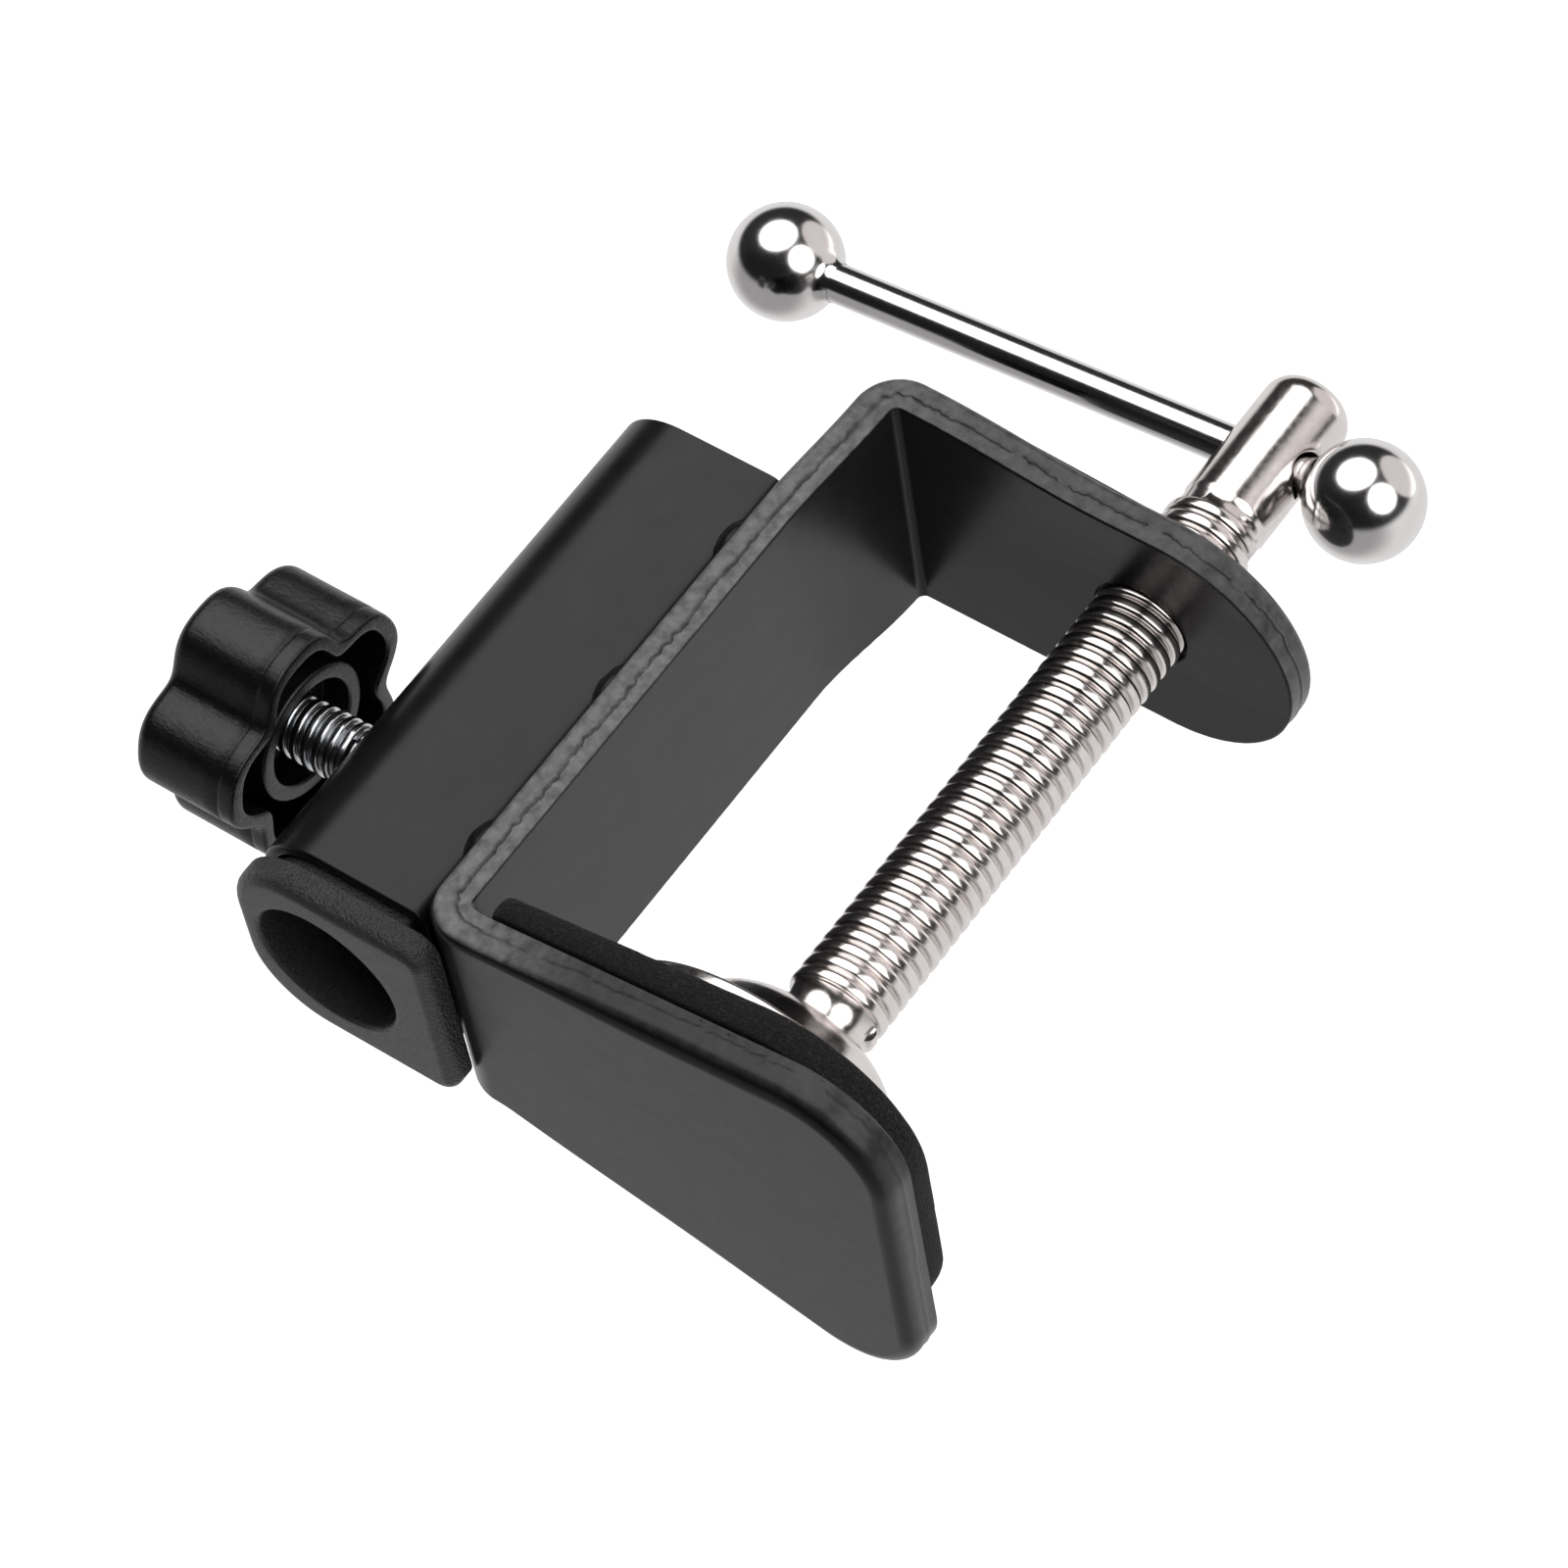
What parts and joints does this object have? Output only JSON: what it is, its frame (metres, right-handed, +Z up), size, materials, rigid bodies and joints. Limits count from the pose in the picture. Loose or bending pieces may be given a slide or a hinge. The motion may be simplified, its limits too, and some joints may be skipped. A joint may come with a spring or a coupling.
{
  "type": "table clamp with rod socket",
  "caption": "Bent steel table clamp: padded jaw, threaded clamp screw with sliding T-handle and dished foot, and a D-shaped socket tube with bush and lock knob for an upright rod.",
  "frame": {"origin": "centre of the foam pad's lower, clamping face, on the clamp screw's axis: the point that rests on the top of a table", "axes": "+Z up, along the clamp screw and the socket's bore, out of the socket's mouth; +X from the spine towards the open ends of the jaws; +Y across the bracket"},
  "size_m": [0.0887, 0.0416, 0.0979],
  "materials": {
    "black_paint": "semi-gloss black paint over bent steel plate",
    "black_foam": "matt black closed-cell foam",
    "black_plastic": "fine textured moulded black plastic",
    "nickel_plate": "warm bright nickel plate, satin on the threads",
    "polished_chrome": "mirror polished chrome",
    "zinc_plate": "bright zinc plate"
  },
  "bodies": {
    "frame": {"bracket": "black_paint", "foam_pad": "black_foam", "socket_tube": "black_paint", "socket_bush": "black_plastic", "weld_near_1": "black_paint", "weld_near_2": "black_paint", "weld_near_3": "black_paint", "weld_far_1": "black_paint", "weld_far_2": "black_paint", "weld_far_3": "black_paint"},
    "foot": {"pressure_foot": "nickel_plate"},
    "screw": {"clamp_screw": "nickel_plate"},
    "handle": {"handle_bar": "polished_chrome", "handle_ball_far": "polished_chrome", "handle_ball_near": "polished_chrome"},
    "bolt_point": {"lock_bolt_point": "zinc_plate"},
    "knob": {"lock_knob": "black_plastic", "lock_bolt": "zinc_plate"}
  },
  "joints": [
    {"name": "foot_travel", "type": "slide", "parent": "frame", "child": "foot", "axis": [0, 0, 1], "range_m": [-0.0496, 0.00041]},
    {"name": "screw_turn", "type": "hinge", "parent": "foot", "child": "screw", "pos_m": [0, 0, -0.0808], "axis": [0, 0, 1], "range_deg": [-11220, 90]},
    {"name": "handle_slide", "type": "slide", "parent": "screw", "child": "handle", "axis": [0.994, 0.1098, 0], "range_m": [0, 0.0449]},
    {"name": "bolt_travel", "type": "slide", "parent": "frame", "child": "bolt_point", "axis": [1, 0, 0], "range_m": [-0.00061, 0.00531]},
    {"name": "knob_turn", "type": "hinge", "parent": "bolt_point", "child": "knob", "pos_m": [-0.0568, 0, -0.0109], "axis": [1, 0, 0], "range_deg": [-170, 1500]}
  ],
  "couplings": [
    {"joint": "foot_travel", "follows": "screw_turn", "m_per_rad": 0.00025266},
    {"joint": "bolt_travel", "follows": "knob_turn", "m_per_rad": 0.00020213}
  ]
}
